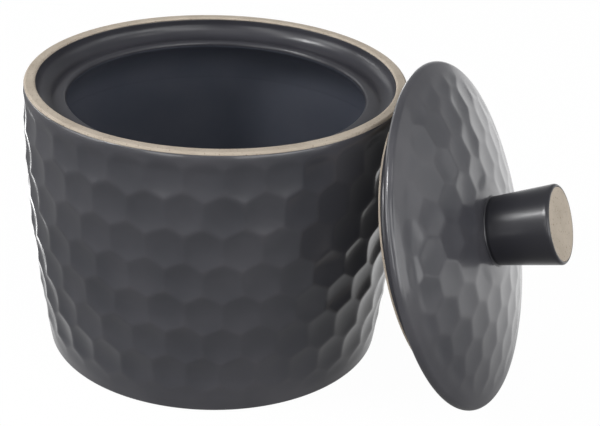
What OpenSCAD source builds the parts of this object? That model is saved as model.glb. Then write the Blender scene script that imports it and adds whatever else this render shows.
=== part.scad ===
// Lidded stoneware sugar bowl with its lid leaning against the rim.
// The bowl stands at the origin; the lid leans on it from the front right.

/* [Bowl] */
// Outside diameter of the rim
rim_d = 116; // [114:0.5:118]
// Height from the table to the top of the rim
bowl_h = 86; // [86:0.5:96]
// Outside diameter at the table, before its edge is rounded
base_d = 104.4; // [100:0.2:108]
// Depth of the wall's outward curve, measured from a straight taper
wall_bulge = 2.2; // [1:0.1:3]
// Thickness of the wall below the gallery
wall_t = 4.5; // [4:0.1:5]
// Thickness of the floor
floor_t = 4.6; // [3.5:0.1:7]
// Radius inside, where the floor turns up into the wall
floor_fillet = 8; // [5:0.5:12]
// Rounding of the outer bottom edge
base_round = 1.2; // [0.8:0.1:1.4]

/* [Rim and gallery] */
// Width of the bare rim
rim_w = 3.5; // [3.2:0.1:3.8]
// Height of the bare band at the rim
rim_band = 1.2; // [1:0.1:1.6]
// Rounding of the rim's outer edge
rim_round = 0.9; // [0.5:0.1:0.9]
// Diameter of the mouth inside the gallery
mouth_d = 90.4; // [88:0.2:92]
// Drop from the rim to the crest of the gallery's lip
lip_drop = 5.2; // [4.8:0.1:5.6]
// Radius of the lip's nose
lip_round = 1.2; // [1:0.1:1.4]
// Radius of the hollow channel between the lip and the rim
channel_r = 4.2; // [4:0.1:4.4]
// Drop from the lip's crest to the bottom of the channel
channel_dip = 0.9; // [0.7:0.1:1.1]
// Height of the gallery ring where it is let into the wall
gallery_h = 12.6; // [12:0.1:14]
// Thickness of the gallery ring behind the channel
gallery_skin = 1.5; // [1.2:0.1:1.7]

/* [Foot] */
// Inside diameter of the foot ring
foot_in_d = 86; // [76:1:90]
// Outside diameter of the foot ring
foot_out_d = 99; // [94:0.5:100]
// Height of the foot ring
foot_h = 1.6; // [1.4:0.1:2]

/* [Lid] */
// Outside diameter of the lid
lid_d = 103.8; // [102:0.2:105]
// Height of the dome above the lid's widest circle
dome_h = 11.9; // [11:0.1:13]
// Rounding of the lid's edge, which is half the edge's thickness
edge_round = 1.6; // [1.4:0.1:2]
// Thickness of the dome
dome_t = 4.6; // [4:0.1:5]
// Outside diameter of the collar
collar_d = 83.6; // [82:0.2:85]
// Thickness of the collar
collar_t = 4; // [3.4:0.1:5]
// Drop from the lid's widest circle to the end of the collar
collar_drop = 7.4; // [6:0.1:9]
// Width of the bare band at the end of the collar
collar_band = 0.8; // [0.7:0.1:1.2]
// Rounding of the collar's outer end edge
collar_round = 0.5; // [0.3:0.1:0.7]

/* [Knob] */
// Diameter of the knob where it rises from the dome
knob_base_d = 20.2; // [18:0.2:22]
// Diameter of the knob at its end
knob_end_d = 23.6; // [22.4:0.2:26]
// Distance from the lid's widest circle to the end of the knob
knob_reach = 31.4; // [26:0.2:36]
// Rounding of the knob's end edge
knob_round = 0.9; // [0.6:0.1:1.2]
// Radius of the hollow curve at the root of the knob
knob_fillet = 1.5; // [1:0.1:2]
// Thickness of the bare end face
face_t = 1.4; // [1.3:0.1:1.8]

/* [How the lid leans] */
// Direction from the bowl's axis to the point of the rim that the lid leans on
lean_side = -22.8; // [-60:0.2:60]
// Direction in which the knob points, seen from above
lean_turn = -25; // [-60:0.5:60]
// Angle by which the knob points above level
lean_tilt = 19; // [19:0.5:22]
// Gap left between the collar and the rim
lean_gap = 0.4; // [0.3:0.1:1]

/* [Hidden] */
$fn = 180;
// Segments drawn on the very large arcs
big_fn = 1440;
glaze = "#3b3c41";
clay = "#c8bba4";

// Bowl: the wall is an arc over the chord from the table to the rim
rim_r = rim_d / 2;
base_r = base_d / 2;
chord = [rim_r - base_r, bowl_h];
chord_len = norm(chord);
outward = [chord[1], -chord[0]] / chord_len;
arc_r = (chord_len ^ 2 / 4 + wall_bulge ^ 2) / (2 * wall_bulge);
arc_c = [(rim_r + base_r) / 2, bowl_h / 2] - (arc_r - wall_bulge) * outward;
cavity_z = foot_h + floor_t;
fillet_z = cavity_z + floor_fillet;
fillet_r = wall_r(fillet_z, wall_t) - floor_fillet;
round_r = wall_r(base_round) - base_round;

// Rim and gallery
band_z = bowl_h - rim_band;
bore_r = rim_r - rim_w;
gallery_z = band_z - gallery_h;
gallery_r = bore_r + gallery_skin;
nose = [mouth_d / 2 + lip_round, bowl_h - lip_drop - lip_round];
channel = [bore_r - channel_r, bowl_h - lip_drop - channel_dip + channel_r];
// Angle at which the lip's flank runs into the channel
flank = 13;
bracket_r = wall_r(gallery_z, wall_t) - 1;

// Lid, in its own frame: its widest circle lies at height 0 and the knob points up
edge_r = lid_d / 2 - edge_round;
// The dome springs from a point this far out from, and above, the middle of the edge
spring = edge_round * sin(45);
spring_r = edge_r + spring;
dome_rise = dome_h - spring;
dome_r = (spring_r ^ 2 + dome_rise ^ 2) / (2 * dome_rise);
dome_z = dome_h - dome_r;
collar_r = collar_d / 2;
hollow_r = collar_r - collar_t;
band_top = collar_band - collar_drop;
knob_end_r = knob_end_d / 2;
face_r = knob_end_r - knob_round;
face_z = knob_reach - face_t;
knob_foot_z = dome_z + sqrt(dome_r ^ 2 - (knob_base_d / 2) ^ 2);

// Where the lid leans: its edge stands on the table and its collar touches the rim
touch_r = rim_r + lean_gap;
reach = collar_r * sin(lean_tilt) + collar_drop * cos(lean_tilt);
lid_x = touch_r * cos(lean_side) + reach * cos(lean_turn);
lid_y = touch_r * sin(lean_side) + reach * sin(lean_turn);
lid_z = edge_r * cos(lean_tilt) + edge_round;

// Radius of the wall at a height, less an inset measured across the wall
function wall_r(z, inset = 0) = arc_c[0] + sqrt((arc_r - inset) ^ 2 - (z - arc_c[1]) ^ 2);

// Outline of a ring between two radii and two heights
module band(r_in, z_low, r_out, z_high) {
    translate([r_in, z_low])
        square([r_out - r_in, z_high - z_low]);
}

// Everything inside the wall's arc between two heights
module inside_wall(inset, z_low, z_high) {
    intersection() {
        translate(arc_c)
            circle(r = arc_r - inset, $fn = big_fn);
        band(0, z_low, rim_r + wall_bulge, z_high);
    }
}

// The dome's sphere, less an inset
module dome_disc(inset) {
    translate([0, dome_z])
        circle(r = dome_r - inset, $fn = big_fn);
}

// Puts a lid part where the lid leans
module leaning() {
    translate([lid_x, lid_y, lid_z])
        rotate([0, 90 - lean_tilt, lean_turn])
            children();
}

// Hollow inside the bowl, with its rounded floor
module cavity() {
    inside_wall(wall_t, fillet_z, band_z);
    band(0, cavity_z, fillet_r, fillet_z + 1);
    translate([fillet_r, fillet_z])
        circle(r = floor_fillet);
}

module bowl_body() {
    color(glaze)
        rotate_extrude()
            difference() {
                union() {
                    inside_wall(0, base_round, band_z);
                    band(0, 0, round_r, base_round);
                    translate([round_r, base_round])
                        circle(r = base_round);
                }
                band(0, -base_round, foot_out_d / 2, foot_h);
                band(0, gallery_z, gallery_r, bowl_h);
                cavity();
            }
}

module gallery_ring() {
    color(glaze)
        rotate_extrude() {
            difference() {
                polygon([
                    [nose[0], nose[1] - lip_round],
                    [bracket_r, gallery_z],
                    [gallery_r, gallery_z],
                    [gallery_r, band_z],
                    [channel[0] - channel_r * sin(flank), band_z],
                    [channel[0] - channel_r * sin(flank), channel[1] - channel_r * cos(flank)],
                    [nose[0], nose[1] + lip_round]
                ]);
                translate(channel)
                    circle(r = channel_r);
            }
            translate(nose)
                circle(r = lip_round);
        }
}

module bowl_rim() {
    color(clay)
        rotate_extrude() {
            band(bore_r, band_z, rim_r - rim_round, bowl_h);
            band(bore_r, band_z, rim_r, bowl_h - rim_round);
            intersection() {
                translate([rim_r - rim_round, bowl_h - rim_round])
                    circle(r = rim_round);
                band(bore_r, band_z, rim_r, bowl_h);
            }
        }
}

module foot_ring() {
    color(clay)
        rotate_extrude()
            band(foot_in_d / 2, 0, foot_out_d / 2, foot_h);
}

module lid_plate() {
    color(glaze)
        leaning()
            rotate_extrude() {
                difference() {
                    intersection() {
                        dome_disc(0);
                        polygon([
                            [0, -edge_round],
                            [edge_r, -edge_round],
                            [edge_r, 0],
                            [spring_r, spring],
                            [spring_r, dome_h],
                            [0, dome_h]
                        ]);
                    }
                    intersection() {
                        dome_disc(dome_t);
                        band(0, -collar_drop, hollow_r, dome_h);
                    }
                }
                translate([edge_r, 0])
                    circle(r = edge_round);
            }
}

module lid_collar() {
    color(glaze)
        leaning()
            rotate_extrude()
                band(hollow_r, band_top, collar_r, -edge_round);
}

module collar_edge() {
    color(clay)
        leaning()
            rotate_extrude()
                intersection() {
                    union() {
                        band(hollow_r, -collar_drop, collar_r - collar_round, band_top);
                        band(hollow_r, collar_round - collar_drop, collar_r, band_top);
                        translate([collar_r - collar_round, collar_round - collar_drop])
                            circle(r = collar_round);
                    }
                    band(hollow_r, -collar_drop, collar_r, band_top);
                }
}

module lid_knob() {
    color(glaze)
        leaning()
            rotate_extrude()
                difference() {
                    union() {
                        polygon([
                            [0, 0],
                            [knob_base_d / 2, 0],
                            [knob_base_d / 2, knob_foot_z],
                            [knob_end_r, knob_reach - knob_round],
                            [0, knob_reach - knob_round]
                        ]);
                        band(0, face_z, face_r, knob_reach);
                        translate([face_r, knob_reach - knob_round])
                            circle(r = knob_round);
                        knob_root();
                    }
                    dome_disc(0);
                    band(0, face_z, face_r, knob_reach + 1);
                }
}

// Flare at the foot of the knob that blends it into the dome
module knob_root() {
    root_r = knob_base_d / 2;
    difference() {
        band(0, 0, root_r + knob_fillet, knob_foot_z + knob_fillet);
        translate([root_r + knob_fillet, knob_foot_z + knob_fillet])
            circle(r = knob_fillet);
    }
}

module knob_face() {
    color(clay)
        leaning()
            rotate_extrude()
                band(0, face_z, face_r, knob_reach);
}

bowl_body();
gallery_ring();
bowl_rim();
foot_ring();
lid_plate();
lid_collar();
collar_edge();
lid_knob();
knob_face();
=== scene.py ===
import math

import bpy
import numpy as np
from mathutils import Matrix, Vector


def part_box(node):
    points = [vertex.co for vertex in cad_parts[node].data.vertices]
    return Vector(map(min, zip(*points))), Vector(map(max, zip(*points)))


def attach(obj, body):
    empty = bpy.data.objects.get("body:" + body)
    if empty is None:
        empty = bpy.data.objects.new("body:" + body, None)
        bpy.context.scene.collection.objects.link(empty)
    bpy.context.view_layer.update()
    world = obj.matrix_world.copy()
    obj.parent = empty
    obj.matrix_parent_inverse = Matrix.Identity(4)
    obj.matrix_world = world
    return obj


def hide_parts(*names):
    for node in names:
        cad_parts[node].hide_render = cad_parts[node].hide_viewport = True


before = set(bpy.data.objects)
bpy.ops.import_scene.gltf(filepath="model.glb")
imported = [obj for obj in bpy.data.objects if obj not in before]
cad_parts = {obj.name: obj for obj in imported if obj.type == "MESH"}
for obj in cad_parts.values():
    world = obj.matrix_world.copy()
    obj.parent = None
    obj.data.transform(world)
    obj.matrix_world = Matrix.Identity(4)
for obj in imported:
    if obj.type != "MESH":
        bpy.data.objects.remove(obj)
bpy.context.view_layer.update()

# A lidded stoneware sugar bowl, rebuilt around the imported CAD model.
# Lengths below are in millimetres; MM turns them into the frame's metres.
MM = 0.001


def centre_of(node):
    low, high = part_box(node)
    return (Vector(low) + Vector(high)) / 2


# ---------------------------------------------------------------- sizes
rim_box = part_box("bowl_rim")
RIM_R = (rim_box[1][0] - rim_box[0][0]) / 2 / MM
RIM_Z = rim_box[1][2] / MM

# Bowl
BASE_R = 52.2
WALL_BULGE = 2.2
WALL_T = 4.5
BASE_ROUND = 1.2
FLOOR_Z = 6.2
FLOOR_FILLET = 8.0
FOOT_IN_R = 43.0
FOOT_OUT_R = 49.5
FOOT_H = 1.6
FOOT_ROUND = 0.3

# Rim: the wall turns over in a quarter ellipse, and its top is wiped bare
RIM_W = 3.5
TURN_W = 1.2
TURN_H = 3.6
BARE_Z = RIM_Z - 0.8
BORE_R = RIM_R - RIM_W
BORE_ROUND = 0.45

# Gallery: a ring let into the wall behind the rim's bore
REBATE_R = BORE_R + 1.5
MOUTH_R = 45.2
LIP_DROP = 5.2
LIP_ROUND = 1.2
CHANNEL_R = 4.2
CHANNEL_DIP = 0.9
GALLERY_Z = 72.2
BRACKET_Z = 65.0
BRACKET_CORNER_DROP = 6.5
BRACKET_SINK = 0.4

# Lid, in its own frame: widest circle at height 0, knob up
LID_R = 51.9
EDGE_ROUND = 1.6
DOME_H = 11.9
DOME_T = 4.6
COLLAR_R = 41.8
COLLAR_T = 4.0
COLLAR_DROP = 7.4
COLLAR_BAND = 0.8
COLLAR_ROUND = 0.5
COLLAR_FILLET = 0.8
KNOB_BASE_R = 10.1
KNOB_END_R = 11.8
KNOB_REACH = 31.4
KNOB_ROUND = 0.9
KNOB_FILLET = 0.6
KNOB_SINK = 1.0
KNOB_FACE_T = 1.4

# Shared edges of the lid's turned pieces
COLLAR_IN_R = COLLAR_R - COLLAR_T
COLLAR_BAND_Z = COLLAR_BAND - COLLAR_DROP
KNOB_FACE_R = KNOB_END_R - KNOB_ROUND
KNOB_FACE_Z = KNOB_REACH - KNOB_FACE_T

# Hammered dimples: a brick-like lattice of soft hollows, each shifted a little at random,
# that fade out between two heights on the wall and between two radii on the dome
JITTER = 0.5
DIMPLE_SEED = 7
LID_SEED = 11
CORNER_DISTANCE = 4 / 3
DIMPLE_COUNT = 33
DIMPLE_ROWS = 12
ROWS_ABOVE_TOP = 2
DIMPLE_ROW = 10.65
DIMPLE_TOP_ROW = 77.6
DIMPLE_PHASE = math.radians(-3.0)
DIMPLE_DEPTH = 0.9
DIMPLE_SOFTNESS = 4.5
DIMPLE_FADE_IN = (3.0, 12.0)
DIMPLE_FADE_OUT = (79.5, 84.5)
LID_CELLS = 16
LID_PITCH = 10.6
LID_ROW = LID_PITCH * math.sin(math.radians(60))
LID_DEPTH = 0.4
LID_SOFTNESS = 3.5
LID_FADE_IN = (KNOB_BASE_R + 1.5, KNOB_BASE_R + 7.0)
LID_FADE_OUT = (44.5, 49.0)

# How far under its smooth surface a point may lie and still be pressed in by the dimples
WALL_SKIN = 2.0
DOME_SKIN = 0.5

# Mesh: points round each turned piece, and the first ring beside a point on the axis
WALL_STEPS = 792
DOME_STEPS = 720
RING_STEPS = 396
SMALL_STEPS = 264
POLE_R = 0.4


# ---------------------------------------------------------------- outlines
def arc(cx, cz, r, start, end, steps):
    """Points on an arc, angles in degrees from the +radius direction."""
    angles = np.radians(np.linspace(start, end, steps + 1))
    return [(cx + r * math.cos(a), cz + r * math.sin(a)) for a in angles]


def line(p, q, step):
    """Points from p towards q, without q, no further apart than step."""
    n = max(1, math.ceil(math.dist(p, q) / step))
    return [(p[0] + (q[0] - p[0]) * i / n, p[1] + (q[1] - p[1]) * i / n) for i in range(n)]


def bend(start, corner, end, steps):
    """Points on a smooth bend from start to end that heads for the corner at both ends."""
    a, b, c = np.array(start), np.array(corner), np.array(end)
    ts = np.linspace(0, 1, steps + 1)
    return [tuple(a * (1 - t) ** 2 + b * 2 * t * (1 - t) + c * t * t) for t in ts]


def wall_arc():
    """Centre and radius of the arc that the bowl's outer wall follows."""
    chord = np.array([RIM_R - BASE_R, RIM_Z])
    length = np.linalg.norm(chord)
    radius = (length ** 2 / 4 + WALL_BULGE ** 2) / (2 * WALL_BULGE)
    outward = np.array([chord[1], -chord[0]]) / length
    middle = np.array([(RIM_R + BASE_R) / 2, RIM_Z / 2])
    return middle - (radius - WALL_BULGE) * outward, radius


WALL_CENTRE, WALL_RADIUS = wall_arc()


def wall_r(z, inset=0.0):
    """Radius of the wall's outside, or of a surface inset from it, at one or more heights."""
    return WALL_CENTRE[0] + np.sqrt((WALL_RADIUS - inset) ** 2 - (z - WALL_CENTRE[1]) ** 2)


def wall_line(start_z, end_z, points, inset=0.0):
    return [(wall_r(z, inset), z) for z in np.linspace(start_z, end_z, points)]


TURN_Z = RIM_Z - TURN_H
BARE_ANGLE = math.degrees(math.asin((BARE_Z - TURN_Z) / TURN_H))


def rim_turn(start, end, steps):
    """Points on the quarter ellipse that turns the wall over to the rim's top."""
    centre_r = wall_r(TURN_Z) - TURN_W
    angles = np.radians(np.linspace(start, end, steps + 1))
    return [(centre_r + TURN_W * math.cos(a), TURN_Z + TURN_H * math.sin(a)) for a in angles]


def dome_arc():
    """Height of the centre and radius of the sphere that meets the lid's rounded edge."""
    edge_r = LID_R - EDGE_ROUND
    rise = DOME_H - EDGE_ROUND
    radius = (edge_r ** 2 + rise ** 2) / (2 * rise) + EDGE_ROUND
    return DOME_H - radius, radius


DOME_Z, DOME_RADIUS = dome_arc()


def dome_line(start_r, end_r, points, inset=0.0):
    """Points on the dome's sphere, or on one inset from it, between two radii."""
    radius = DOME_RADIUS - inset
    return [(r, DOME_Z + math.sqrt(radius ** 2 - r * r)) for r in np.linspace(start_r, end_r, points)]


# ---------------------------------------------------------------- relief
def smooth_step(x, limits):
    t = np.clip((x - limits[0]) / (limits[1] - limits[0]), 0.0, 1.0)
    return t * t * (3 - 2 * t)


def hollow_depth(distances, softness):
    """Depth of the hollow, 1 at a hollow's middle and 0 where three ridges meet.
    distances holds squared distances to the nearby middles, in half pitches."""
    nearest = -np.log(np.exp(-softness * distances).sum(axis=0)) / softness
    return np.clip(1.0 - nearest / CORNER_DISTANCE, 0.0, 1.0)


def lattice_depth(u, v, pitch, row_height, shift, softness):
    """Depth, 0 to 1, of hollows on a staggered lattice. u runs along the rows and v across
    them; shift holds how far each hollow's middle is moved in u and in v."""
    rows, columns = shift.shape[1:]
    row = np.round(v / row_height)
    found = []
    for row_step in (-1, 0, 1):
        j = row + row_step
        offset = pitch / 2 * (j % 2)
        column = np.round((u - offset) / pitch)
        for column_step in (-1, 0, 1):
            i = column + column_step
            cell = (j.astype(int) % rows, i.astype(int) % columns)
            du = u - offset - i * pitch - shift[0][cell]
            dv = v - j * row_height - shift[1][cell]
            found.append((du * du + dv * dv) / (pitch / 2) ** 2)
    return hollow_depth(np.array(found), softness)


def dimple_wall(angle, r, z):
    """Presses the dimples into the points that lie on the outside of the wall."""
    rng = np.random.default_rng(DIMPLE_SEED)
    drawn = rng.uniform(-JITTER, JITTER, (2, DIMPLE_ROWS, DIMPLE_COUNT))
    sideways, upward = np.roll(drawn, -ROWS_ABOVE_TOP, axis=1)
    turned = np.where(angle > math.pi, angle - 2 * math.pi, angle)
    pitch = 2 * math.pi / DIMPLE_COUNT * RIM_R
    along = (turned - DIMPLE_PHASE) * RIM_R
    down = DIMPLE_TOP_ROW - z
    depth = lattice_depth(along, down, pitch, DIMPLE_ROW, np.stack([sideways, -upward]), DIMPLE_SOFTNESS)
    depth = DIMPLE_DEPTH * depth * smooth_step(z, DIMPLE_FADE_IN) * (1 - smooth_step(z, DIMPLE_FADE_OUT))
    outside = r > wall_r(z) - WALL_SKIN
    depth = np.where(outside, depth, 0.0)
    return r - depth, z, depth


def dimple_dome(angle, r, z):
    """Presses the dimples into the points on top of the dome."""
    rng = np.random.default_rng(LID_SEED)
    shift = rng.uniform(-JITTER, JITTER, (2, LID_CELLS, LID_CELLS))
    x, y = r * np.sin(angle), -r * np.cos(angle)
    depth = LID_DEPTH * lattice_depth(x, y, LID_PITCH, LID_ROW, shift, LID_SOFTNESS)
    depth = depth * smooth_step(r, LID_FADE_IN) * (1 - smooth_step(r, LID_FADE_OUT))
    on_top = np.hypot(r, z - DOME_Z) > DOME_RADIUS - DOME_SKIN
    depth = np.where(on_top, depth, 0.0)
    return r, z - depth, depth


# ---------------------------------------------------------------- turning
def ring_points(outline, steps, relief):
    """The turned points, a ring for each outline point, and how deep each lies under the ridges."""
    r, z = (np.array(c, float)[:, None] for c in zip(*outline))
    angle = np.linspace(0, 2 * math.pi, steps, endpoint=False)[None, :]
    r, z, angle = np.broadcast_arrays(r, z, angle)
    depth = np.zeros_like(r)
    if relief:
        r, z, depth = relief(angle, r, z)
    return np.stack([r * np.sin(angle), -r * np.cos(angle), z], axis=-1) * MM, depth


def ring_faces(index, closed):
    """Faces between neighbouring rings: four-sided, or three-sided beside a point on the axis."""
    count, steps = index.shape
    faces = []
    for k in range(count if closed else count - 1):
        a, b = index[k], index[(k + 1) % count]
        for s in range(steps):
            t = (s + 1) % steps
            corners = (a[s], a[t], b[t], b[s])
            faces.append(tuple(dict.fromkeys(int(c) for c in corners)))
    return faces


def turn(name, outline, steps, relief=None, place=None):
    """A closed mesh turned from an outline of (radius, height) points that runs
    anticlockwise round the section. relief(angle, r, z) gives the points' new r and z,
    and how deep each lies under the ridges."""
    points, depth = ring_points(outline, steps, relief)
    on_axis = [r == 0 for r, _ in outline]
    index = np.zeros((len(outline), steps), int)
    verts, depths = [], []
    for k, single in enumerate(on_axis):
        kept = 1 if single else steps
        index[k] = len(verts) + (0 if single else np.arange(steps))
        verts.extend(map(tuple, points[k][:kept]))
        depths.extend(depth[k][:kept])
    mesh = bpy.data.meshes.new(name)
    mesh.from_pydata(verts, [], ring_faces(index, closed=not any(on_axis)))
    mesh.attributes.new("depth", "FLOAT", "POINT").data.foreach_set("value", depths)
    mesh.polygons.foreach_set("use_smooth", [True] * len(mesh.polygons))
    if place:
        mesh.transform(place)
    mesh.validate()
    mesh.update()
    piece = bpy.data.objects.new(name, mesh)
    bpy.context.scene.collection.objects.link(piece)
    return piece


def paint_rows(piece, first_row, steps):
    """Gives the piece's second material to the faces from one outline point on."""
    for face in piece.data.polygons[first_row * steps:]:
        face.material_index = 1


def hand_over(piece, body, slot, node, *materials):
    for material in materials:
        piece.data.materials.append(material)
    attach(piece, body)
    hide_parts(node)


# ---------------------------------------------------------------- bowl pieces
def make_bowl_body(outside, inside):
    round_r = wall_r(BASE_ROUND) - BASE_ROUND
    fillet_z = FLOOR_Z + FLOOR_FILLET
    fillet_r = wall_r(fillet_z, WALL_T) - FLOOR_FILLET
    outline = [(0.0, FOOT_H)]
    outline += line((POLE_R, FOOT_H), (FOOT_OUT_R, FOOT_H), 6)
    outline += line((FOOT_OUT_R, FOOT_H), (FOOT_OUT_R, 0), 0.5)
    outline += line((FOOT_OUT_R, 0), (round_r, 0), 0.6)
    outline += arc(round_r, BASE_ROUND, BASE_ROUND, -90, -6, 6)
    outline += wall_line(BASE_ROUND + 0.3, TURN_Z, 176)[:-1]
    outline += rim_turn(0, BARE_ANGLE, 7)
    outline += [(REBATE_R, BARE_Z)]
    outline += line((REBATE_R, BARE_Z - 0.4), (REBATE_R, GALLERY_Z), 1.5)
    outline += line((REBATE_R, GALLERY_Z), (wall_r(GALLERY_Z, WALL_T), GALLERY_Z), 1)
    first_inside = len(outline)
    outline += wall_line(GALLERY_Z, fillet_z, 32, WALL_T)
    outline += arc(fillet_r, fillet_z, FLOOR_FILLET, -4, -90, 14)
    outline += line((fillet_r - 2, FLOOR_Z), (POLE_R, FLOOR_Z), 6)
    outline += [(0.0, FLOOR_Z)]
    piece = turn("bowl_body_hammered", outline, WALL_STEPS, relief=dimple_wall)
    hand_over(piece, "bowl", "dark_glaze", "bowl_body", outside, inside)
    paint_rows(piece, first_inside, WALL_STEPS)


def make_bowl_rim(material):
    bottom_r, flat_r = RIM_R - 1.0, RIM_R - 1.4
    bore_middle_z = BARE_Z + 0.02
    outline = line((BORE_R, BARE_Z), (bottom_r, BARE_Z), 0.8)
    outline += rim_turn(BARE_ANGLE, 90, 8)
    outline += line((flat_r, RIM_Z), (BORE_R + BORE_ROUND, RIM_Z), 0.7)
    outline += arc(BORE_R + BORE_ROUND, bore_middle_z, RIM_Z - bore_middle_z, 90, 180, 5)[:-1]
    piece = turn("bowl_rim_bare", outline, WALL_STEPS, relief=dimple_wall)
    hand_over(piece, "bowl", "bare_clay", "bowl_rim", material)


def make_gallery(outside, inside):
    """The ledge that carries the lid: a channel behind a rounded lip, on a bracket
    whose underside bends down into the wall."""
    lip_r, lip_z = MOUTH_R + LIP_ROUND, RIM_Z - LIP_DROP - LIP_ROUND
    channel_r, channel_z = BORE_R - CHANNEL_R, RIM_Z - LIP_DROP - CHANNEL_DIP + CHANNEL_R
    foot_r = wall_r(BRACKET_Z, WALL_T)
    outline = line((REBATE_R, GALLERY_Z), (REBATE_R, BARE_Z), 1.5)
    outline += line((REBATE_R, BARE_Z), (BORE_R, BARE_Z), 0.5)
    outline += line((BORE_R, BARE_Z), (BORE_R, channel_z), 0.3)
    outline += arc(channel_r, channel_z, CHANNEL_R, 0, -103, 26)
    outline += arc(lip_r, lip_z, LIP_ROUND, 103, 225, 14)
    rows_under_lip = 5
    first_inside = len(outline) - rows_under_lip
    corner = (foot_r + 0.2, lip_z - BRACKET_CORNER_DROP)
    outline += bend(outline[-1], corner, (foot_r, BRACKET_Z), 18)[1:]
    outline += [(foot_r + 0.15, BRACKET_Z - BRACKET_SINK)]
    outline += [(r + BRACKET_SINK, z) for r, z in wall_line(BRACKET_Z, GALLERY_Z - 0.5, 6, WALL_T)]
    outline += [(wall_r(GALLERY_Z, WALL_T), GALLERY_Z)]
    piece = turn("gallery_ledge", outline, RING_STEPS)
    hand_over(piece, "bowl", "dark_glaze", "gallery_ring", outside, inside)
    paint_rows(piece, first_inside, RING_STEPS)


def make_foot(material):
    outline = line((FOOT_IN_R + FOOT_ROUND, 0), (FOOT_OUT_R - FOOT_ROUND, 0), 1)
    outline += arc(FOOT_OUT_R - FOOT_ROUND, FOOT_ROUND, FOOT_ROUND, -90, 0, 3)
    outline += line((FOOT_OUT_R, FOOT_H), (FOOT_IN_R, FOOT_H), 1)
    outline += [(FOOT_IN_R, FOOT_H)]
    outline += arc(FOOT_IN_R + FOOT_ROUND, FOOT_ROUND, FOOT_ROUND, 180, 270, 3)[:-1]
    piece = turn("foot_ring_bare", outline, SMALL_STEPS)
    hand_over(piece, "bowl", "bare_clay", "foot_ring", material)


# ---------------------------------------------------------------- lid pieces
def lid_place():
    """The lid's own frame, from two of its turned pieces, whose middles lie on its axis."""
    collar, face = centre_of("lid_collar"), centre_of("knob_face")
    axis = (face - collar).normalized()
    collar_middle = (COLLAR_DROP - COLLAR_BAND + EDGE_ROUND) / 2 * MM
    across = Vector((0, 0, 1)).cross(axis).normalized()
    upright = axis.cross(across)
    turn_to = Matrix((across, upright, axis)).transposed().to_4x4()
    return Matrix.Translation(collar + axis * collar_middle) @ turn_to


def make_lid_plate(material, place):
    edge_r = LID_R - EDGE_ROUND
    meet = math.atan2(-DOME_Z, edge_r)
    outline = [(0.0, DOME_Z + DOME_RADIUS - DOME_T)]
    outline += dome_line(POLE_R, COLLAR_IN_R, 20, DOME_T)
    outline += line((COLLAR_IN_R, -EDGE_ROUND), (edge_r, -EDGE_ROUND), 1.2)
    outline += arc(edge_r, 0, EDGE_ROUND, -90, math.degrees(meet), 16)
    outline += dome_line(edge_r + EDGE_ROUND * math.cos(meet), POLE_R, 132)[1:]
    outline += [(0.0, DOME_H)]
    piece = turn("lid_dome_hammered", outline, DOME_STEPS, dimple_dome, place)
    hand_over(piece, "lid", "dark_glaze", "lid_plate", material)


def make_collar(material, place):
    fillet_z = -EDGE_ROUND - COLLAR_FILLET
    outline = line((COLLAR_IN_R, COLLAR_BAND_Z), (COLLAR_R, COLLAR_BAND_Z), 1)
    outline += line((COLLAR_R, COLLAR_BAND_Z), (COLLAR_R, fillet_z), 0.8)
    outline += arc(COLLAR_R + COLLAR_FILLET, fillet_z, COLLAR_FILLET, 180, 90, 5)
    outline += line((COLLAR_R, -EDGE_ROUND), (COLLAR_IN_R, -EDGE_ROUND), 1)
    outline += line((COLLAR_IN_R, -EDGE_ROUND), (COLLAR_IN_R, COLLAR_BAND_Z), 0.8)
    piece = turn("lid_collar_wall", outline, RING_STEPS, place=place)
    hand_over(piece, "lid", "dark_glaze", "lid_collar", material)


def make_collar_edge(material, place):
    round_z = COLLAR_ROUND - COLLAR_DROP
    inner_r, outer_r = COLLAR_IN_R + COLLAR_ROUND, COLLAR_R - COLLAR_ROUND
    outline = line((inner_r, -COLLAR_DROP), (outer_r, -COLLAR_DROP), 1)
    outline += arc(outer_r, round_z, COLLAR_ROUND, -90, 0, 5)
    outline += line((COLLAR_R, COLLAR_BAND_Z), (COLLAR_IN_R, COLLAR_BAND_Z), 1)
    outline += [(COLLAR_IN_R, COLLAR_BAND_Z)]
    outline += arc(inner_r, round_z, COLLAR_ROUND, 180, 270, 5)[:-1]
    piece = turn("collar_edge_bare", outline, RING_STEPS, place=place)
    hand_over(piece, "lid", "bare_clay", "collar_edge", material)


def make_knob(material, place):
    """The flared knob. It starts a little under the dome, with a small fillet round its root."""
    root_r = KNOB_BASE_R + KNOB_FILLET
    root_z = DOME_Z + math.sqrt(DOME_RADIUS ** 2 - root_r ** 2)
    round_z = KNOB_REACH - KNOB_ROUND
    outline = [(0.0, root_z - KNOB_SINK)]
    outline += line((POLE_R, root_z - KNOB_SINK), (root_r, root_z - KNOB_SINK), 2)
    outline += [(root_r, root_z - 0.02)]
    outline += arc(root_r, root_z + KNOB_FILLET, KNOB_FILLET, 268, 186, 8)
    outline += line((KNOB_BASE_R + 0.1, root_z + KNOB_FILLET), (KNOB_END_R, round_z), 1)
    outline += arc(KNOB_FACE_R, round_z, KNOB_ROUND, 0, 90, 8)
    outline += line((KNOB_FACE_R, KNOB_REACH), (KNOB_FACE_R, KNOB_FACE_Z), 0.4)[1:]
    outline += line((KNOB_FACE_R, KNOB_FACE_Z), (POLE_R, KNOB_FACE_Z), 2)
    outline += [(0.0, KNOB_FACE_Z)]
    piece = turn("lid_knob_turned", outline, SMALL_STEPS, place=place)
    hand_over(piece, "lid", "dark_glaze", "lid_knob", material)


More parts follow.
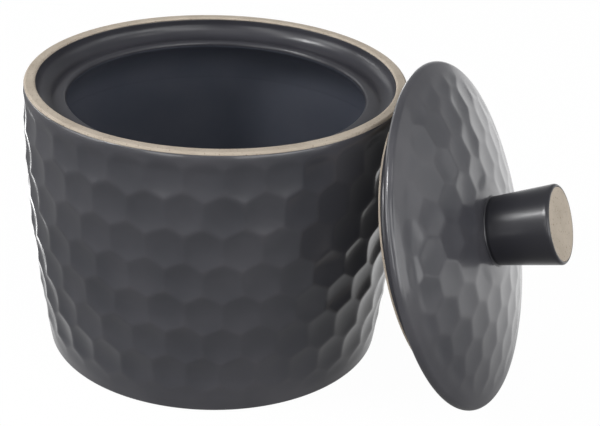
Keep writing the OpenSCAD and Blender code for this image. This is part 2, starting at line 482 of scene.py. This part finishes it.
def make_knob_face(material, place):
    chamfer = 0.1
    outline = [(0.0, KNOB_FACE_Z)]
    outline += line((POLE_R, KNOB_FACE_Z), (KNOB_FACE_R, KNOB_FACE_Z), 2)
    outline += line((KNOB_FACE_R, KNOB_FACE_Z), (KNOB_FACE_R, KNOB_REACH - chamfer), 0.5)
    outline += [(KNOB_FACE_R - chamfer, KNOB_REACH)]
    outline += line((KNOB_FACE_R - 0.5, KNOB_REACH), (POLE_R, KNOB_REACH), 1.5)
    outline += [(0.0, KNOB_REACH)]
    piece = turn("knob_face_bare", outline, SMALL_STEPS, place=place)
    hand_over(piece, "lid", "bare_clay", "knob_face", material)


# ---------------------------------------------------------------- shader nodes
def new_material(name):
    material = bpy.data.materials.new(name)
    material.use_nodes = True
    return material, material.node_tree.nodes, material.node_tree.links


def noise(nodes, links, coordinate, scale, detail=3.0, roughness=0.5):
    node = nodes.new("ShaderNodeTexNoise")
    node.inputs["Scale"].default_value = scale
    node.inputs["Detail"].default_value = detail
    node.inputs["Roughness"].default_value = roughness
    links.new(coordinate.outputs["Object"], node.inputs["Vector"])
    return node.outputs["Fac"]


def ramp(nodes, links, value, low, high, dark, light):
    node = nodes.new("ShaderNodeValToRGB")
    node.color_ramp.elements[0].position = low
    node.color_ramp.elements[1].position = high
    node.color_ramp.elements[0].color = (*dark, 1)
    node.color_ramp.elements[1].color = (*light, 1)
    links.new(value, node.inputs["Fac"])
    return node.outputs["Color"]


def blend(nodes, links, factor, a, b, mode="MIX"):
    node = nodes.new("ShaderNodeMix")
    node.data_type = "RGBA"
    node.blend_type = mode
    if isinstance(factor, float):
        node.inputs["Factor"].default_value = factor
    else:
        links.new(factor, node.inputs["Factor"])
    links.new(a, node.inputs["A"])
    links.new(b, node.inputs["B"])
    return node.outputs["Result"]


def spread(nodes, links, value, low, high, from_max=1.0):
    """Maps a value from 0..from_max to low..high."""
    node = nodes.new("ShaderNodeMapRange")
    node.inputs["From Max"].default_value = from_max
    node.inputs["To Min"].default_value = low
    node.inputs["To Max"].default_value = high
    links.new(value, node.inputs["Value"])
    return node.outputs["Result"]


def combine(nodes, links, operation, a, b):
    node = nodes.new("ShaderNodeMath")
    node.operation = operation
    links.new(a, node.inputs[0])
    links.new(b, node.inputs[1])
    return node.outputs[0]


def rise_along(nodes, links, vector, toward, start, end):
    """Rises smoothly from 0 to 1 between two distances of a vector along a direction."""
    along = nodes.new("ShaderNodeVectorMath")
    along.operation = "DOT_PRODUCT"
    along.inputs[1].default_value = toward
    links.new(vector, along.inputs[0])
    rise = nodes.new("ShaderNodeMapRange")
    rise.interpolation_type = "SMOOTHSTEP"
    rise.inputs["From Min"].default_value = start
    rise.inputs["From Max"].default_value = end
    links.new(along.outputs["Value"], rise.inputs["Value"])
    return rise.outputs["Result"]


def add_bump(nodes, links, shader, layers):
    """Stacks bumps of (height, strength, distance in mm)."""
    normal = None
    for height, strength, distance in layers:
        node = nodes.new("ShaderNodeBump")
        node.inputs["Strength"].default_value = strength
        node.inputs["Distance"].default_value = distance * MM
        links.new(height, node.inputs["Height"])
        if normal:
            links.new(normal, node.inputs["Normal"])
        normal = node.outputs["Normal"]
    links.new(normal, shader.inputs["Normal"])


# ---------------------------------------------------------------- materials
def glaze_material(name, dark, light, coat, ridge=(1, 1, 1)):
    """Satin glaze: cloudy colour, tinted where it runs thin over the ridges,
    and a faint eggshell surface."""
    material, nodes, links = new_material(name)
    shader = nodes["Principled BSDF"]
    coordinate = nodes.new("ShaderNodeTexCoord")
    clouds = noise(nodes, links, coordinate, 55, 4)
    colour = ramp(nodes, links, clouds, 0.35, 0.68, dark, light)
    attribute = nodes.new("ShaderNodeAttribute")
    attribute.attribute_name = "depth"
    depth = spread(nodes, links, attribute.outputs["Fac"], 0.0, 1.0, DIMPLE_DEPTH)
    thin = ramp(nodes, links, depth, 0.0, 0.35, ridge, (1, 1, 1))
    links.new(blend(nodes, links, 1.0, colour, thin, "MULTIPLY"), shader.inputs["Base Color"])
    gloss = noise(nodes, links, coordinate, 90, 3)
    links.new(spread(nodes, links, gloss, 0.26, 0.38), shader.inputs["Roughness"])
    shader.inputs["IOR"].default_value = 1.5
    shader.inputs["Coat Weight"].default_value = coat
    shader.inputs["Coat Roughness"].default_value = 0.12
    peel = noise(nodes, links, coordinate, 700, 2)
    grain = noise(nodes, links, coordinate, 3200, 2)
    add_bump(nodes, links, shader, [(peel, 0.25, 0.05), (grain, 0.2, 0.012)])
    return material


def clay_material(name, pale, warm, speck):
    """Bare fired clay: mottled buff with fine grog specks and a dry, grainy surface."""
    material, nodes, links = new_material(name)
    shader = nodes["Principled BSDF"]
    coordinate = nodes.new("ShaderNodeTexCoord")
    mottle = noise(nodes, links, coordinate, 120, 5, 0.6)
    colour = ramp(nodes, links, mottle, 0.32, 0.7, warm, pale)
    specks = noise(nodes, links, coordinate, 1500, 2)
    mask = ramp(nodes, links, specks, 0.62, 0.74, (0, 0, 0), (1, 1, 1))
    tint = nodes.new("ShaderNodeRGB")
    tint.outputs[0].default_value = (*speck, 1)
    links.new(blend(nodes, links, mask, colour, tint.outputs[0]), shader.inputs["Base Color"])
    dry = noise(nodes, links, coordinate, 400, 2)
    links.new(spread(nodes, links, dry, 0.72, 0.92), shader.inputs["Roughness"])
    grain = noise(nodes, links, coordinate, 2400, 3, 0.7)
    drag = noise(nodes, links, coordinate, 600, 2)
    add_bump(nodes, links, shader, [(drag, 0.3, 0.05), (grain, 0.5, 0.03)])
    return material


# ---------------------------------------------------------------- studio
# Softboxes: where they stand as seen from the bowl (azimuth 0 is the viewer's side, positive
# to the right), their width and height in metres, and how bright their faces are
SOFTBOXES = {
    "key_box": (-74, 43, 0.3, 0.3, 28.0),
    "left_box": (-80, 12, 0.7, 0.5, 4.0),
    "front_left_box": (-40, 27, 0.6, 0.6, 2.0),
    "low_left_box": (-28, 10, 0.5, 0.35, 3.2),
    "front_box": (-8, 42, 0.5, 0.5, 0.8),
    "low_right_box": (20, 10, 0.5, 0.35, 2.6),
    "front_right_box": (24, 36, 0.6, 0.6, 3.0),
    "right_fill_box": (44, 16, 0.6, 0.5, 3.6),
    "right_key_box": (62, 48, 0.3, 0.3, 3.0),
    "right_box": (72, 12, 0.6, 0.6, 2.2),
    "far_right_box": (100, 20, 0.6, 0.6, 0.5),
    "back_left_box": (-135, 14, 0.8, 0.6, 1.2),
    "low_back_left_box": (-115, 5, 0.5, 0.2, 7.0),
    "overhead_box": (0, 72, 0.7, 0.7, 0.5),
}
BOX_DISTANCE = 1.4

# Glows of the room, its backdrop and parts of the table, all hidden from the camera
ROOM_GLOW = 0.3
BACKDROP_GLOW = 0.6
FRONT_TABLE_GLOW = 0.12
BACK_TABLE_GLOW = 1.0
STRIP_GLOW = 3.0
TABLE_SHADE = 0.1

ROOM_COLOUR = (0.97, 0.98, 1.0, 1)

# What the camera sees of the table: plain white, with the faintest shadow
WHITE_GLOW = 0.98
WHITE_SHADE = 0.02

# The table's width and the hair's breadth by which it clears the foot, in metres
TABLE_WIDTH = 6.0
TABLE_GAP = 0.0002

# Where the table's glow starts and ends: a direction and two distances along it, in metres
BACK_HALF = ((0.0, 1.0, 0.0), -0.07, 0.04)
FAR_BACK = ((0.0, 1.0, 0.0), 0.01, 0.06)
PAST_LEFT_SIDE = ((1.0, 0.36, 0.0), -0.075, -0.055)
LEFT_HALF = ((-1.0, 0.0, 0.0), -0.05, 0.02)

# The backdrop: its direction, and the range over which it fades into the room
BACKDROP = ((0, 0.95, -0.3), 0.7, 0.95)


def table_glow(nodes, links):
    """Dark in front, pale behind and to the right, with a bright strip straight behind."""
    place = nodes.new("ShaderNodeTexCoord").outputs["Object"]
    back, side, left, far = (
        rise_along(nodes, links, place, *edge) for edge in (BACK_HALF, PAST_LEFT_SIDE, LEFT_HALF, FAR_BACK)
    )
    white = combine(nodes, links, "MULTIPLY", back, side)
    sweep = spread(nodes, links, white, FRONT_TABLE_GLOW, BACK_TABLE_GLOW)
    corner = combine(nodes, links, "MULTIPLY", side, left)
    behind = combine(nodes, links, "MULTIPLY", far, corner)
    strip = spread(nodes, links, behind, 0.0, STRIP_GLOW)
    return combine(nodes, links, "ADD", sweep, strip)


def glowing_cloth(nodes, links, shade):
    """A matt cloth that also glows. Returns its glow and its surface."""
    light = nodes.new("ShaderNodeEmission")
    cloth = nodes.new("ShaderNodeBsdfDiffuse")
    cloth.inputs["Color"].default_value = (shade, shade, shade, 1)
    both = nodes.new("ShaderNodeAddShader")
    links.new(light.outputs[0], both.inputs[0])
    links.new(cloth.outputs[0], both.inputs[1])
    return light.inputs["Strength"], both.outputs[0]


def camera_switch(nodes, links, for_object, for_camera):
    """Shows one surface to the camera, and the other to every other ray."""
    path = nodes.new("ShaderNodeLightPath")
    mix = nodes.new("ShaderNodeMixShader")
    links.new(path.outputs["Is Camera Ray"], mix.inputs["Fac"])
    links.new(for_object, mix.inputs[1])
    links.new(for_camera, mix.inputs[2])
    return mix.outputs[0]


def table_material():
    """Seen by the camera the table is plain white with a faint contact shadow;
    to the object it is a pale table whose glow varies from place to place."""
    material, nodes, links = new_material("studio_table")
    nodes.clear()
    object_glow, for_object = glowing_cloth(nodes, links, TABLE_SHADE)
    links.new(table_glow(nodes, links), object_glow)
    camera_glow, for_camera = glowing_cloth(nodes, links, WHITE_SHADE)
    camera_glow.default_value = WHITE_GLOW
    out = nodes.new("ShaderNodeOutputMaterial")
    links.new(camera_switch(nodes, links, for_object, for_camera), out.inputs["Surface"])
    return material


def make_table():
    half = TABLE_WIDTH / 2
    corners = [(-half, -half, 0), (half, -half, 0), (half, half, 0), (-half, half, 0)]
    mesh = bpy.data.meshes.new("table")
    mesh.from_pydata(corners, [], [(0, 1, 2, 3)])
    table = bpy.data.objects.new("table", mesh)
    bpy.context.scene.collection.objects.link(table)
    table.location.z = -TABLE_GAP
    table.data.materials.append(table_material())


def make_world():
    """A dim room with a brighter backdrop low down behind the object, and white to the camera."""
    world = bpy.data.worlds.new("studio")
    bpy.context.scene.world = world
    world.use_nodes = True
    nodes, links = world.node_tree.nodes, world.node_tree.links
    nodes.clear()
    direction = nodes.new("ShaderNodeTexCoord").outputs["Generated"]
    backdrop = rise_along(nodes, links, direction, *BACKDROP)
    room = nodes.new("ShaderNodeBackground")
    room.inputs["Color"].default_value = ROOM_COLOUR
    links.new(spread(nodes, links, backdrop, ROOM_GLOW, BACKDROP_GLOW), room.inputs["Strength"])
    plain = nodes.new("ShaderNodeBackground")
    plain.inputs["Color"].default_value = (1, 1, 1, 1)
    out = nodes.new("ShaderNodeOutputWorld")
    links.new(camera_switch(nodes, links, room.outputs[0], plain.outputs[0]), out.inputs["Surface"])


def make_softbox(name, azimuth, elevation, width, height, brightness):
    light = bpy.data.lights.new(name, "AREA")
    light.shape = "RECTANGLE"
    light.size = width
    light.size_y = height
    light.energy = brightness * math.pi * width * height
    lamp = bpy.data.objects.new(name, light)
    bpy.context.scene.collection.objects.link(lamp)
    az, el = math.radians(azimuth), math.radians(elevation)
    toward = Vector((math.sin(az) * math.cos(el), -math.cos(az) * math.cos(el), math.sin(el)))
    lamp.location = Vector((0, 0, RIM_Z / 2 * MM)) + toward * BOX_DISTANCE
    lamp.rotation_euler = toward.to_track_quat("Z", "Y").to_euler()


# The camera: its turn to the right, its tilt down and its roll in degrees, its place in
# rim radii from the middle of the bowl's foot, and its lens and sensor width
CAMERA_YAW = 3.64
CAMERA_TILT = 26.1
CAMERA_ROLL = 2.41
CAMERA_PLACE = (0.0, -7.28, 4.267)
CAMERA_LENS = 89.2
CAMERA_SENSOR = 36


def make_camera():
    """The viewer stands about seven rim radii in front of the bowl and looks down on it."""
    yaw, tilt, roll = (math.radians(a) for a in (CAMERA_YAW, CAMERA_TILT, CAMERA_ROLL))
    forward = Vector((math.sin(yaw) * math.cos(tilt), math.cos(yaw) * math.cos(tilt), -math.sin(tilt)))
    right = forward.cross(Vector((0, 0, 1))).normalized()
    up = right.cross(forward)
    level = Matrix((right, up, -forward)).transposed().to_4x4()
    camera = bpy.data.cameras.new("camera")
    camera.sensor_width = CAMERA_SENSOR
    camera.lens = CAMERA_LENS
    camera.clip_start = 0.01
    eye = bpy.data.objects.new("camera", camera)
    bpy.context.scene.collection.objects.link(eye)
    place = Matrix.Translation(Vector(CAMERA_PLACE) * RIM_R * MM)
    eye.matrix_world = place @ level @ Matrix.Rotation(roll, 4, "Z")
    bpy.context.scene.camera = eye


# ---------------------------------------------------------------- build
make_camera()
make_world()
for name, setting in SOFTBOXES.items():
    make_softbox(name, *setting)
make_table()
bpy.context.scene.view_settings.view_transform = "Standard"

outer_glaze = glaze_material(
    "anthracite_glaze", (0.042, 0.043, 0.051), (0.058, 0.058, 0.067), 0.6, ridge=(1.12, 1.1, 1.08)
)
# A darker copy of the anthracite glaze for the recessed gallery ledge and the lid's collar: painted shade.
gallery_glaze_painted_shade = glaze_material("gallery_glaze_painted_shade", (0.030, 0.030, 0.037), (0.038, 0.038, 0.046), 0.1)
# A darker copy of the anthracite glaze for the knob: painted shade.
knob_glaze_painted_shade = glaze_material("knob_glaze_painted_shade", (0.018, 0.018, 0.023), (0.024, 0.024, 0.029), 0.2)
# A paler, bluish copy of the glaze for the inside of the bowl and the lip's underside: a bluish liner
# tone, with painted light that lifts the shaded inside.
inner_glaze_tint_and_painted_light = glaze_material("inner_glaze_tint_and_painted_light", (0.070, 0.077, 0.099), (0.084, 0.090, 0.112), 0.1)
clay = clay_material("bare_clay", (0.50, 0.435, 0.355), (0.41, 0.35, 0.28), (0.22, 0.16, 0.11))

make_bowl_body(outer_glaze, inner_glaze_tint_and_painted_light)
make_bowl_rim(clay)
make_gallery(gallery_glaze_painted_shade, inner_glaze_tint_and_painted_light)
make_foot(clay)
lid_frame = lid_place()
make_lid_plate(outer_glaze, lid_frame)
make_collar(gallery_glaze_painted_shade, lid_frame)
make_collar_edge(clay, lid_frame)
make_knob(knob_glaze_painted_shade, lid_frame)
make_knob_face(clay, lid_frame)
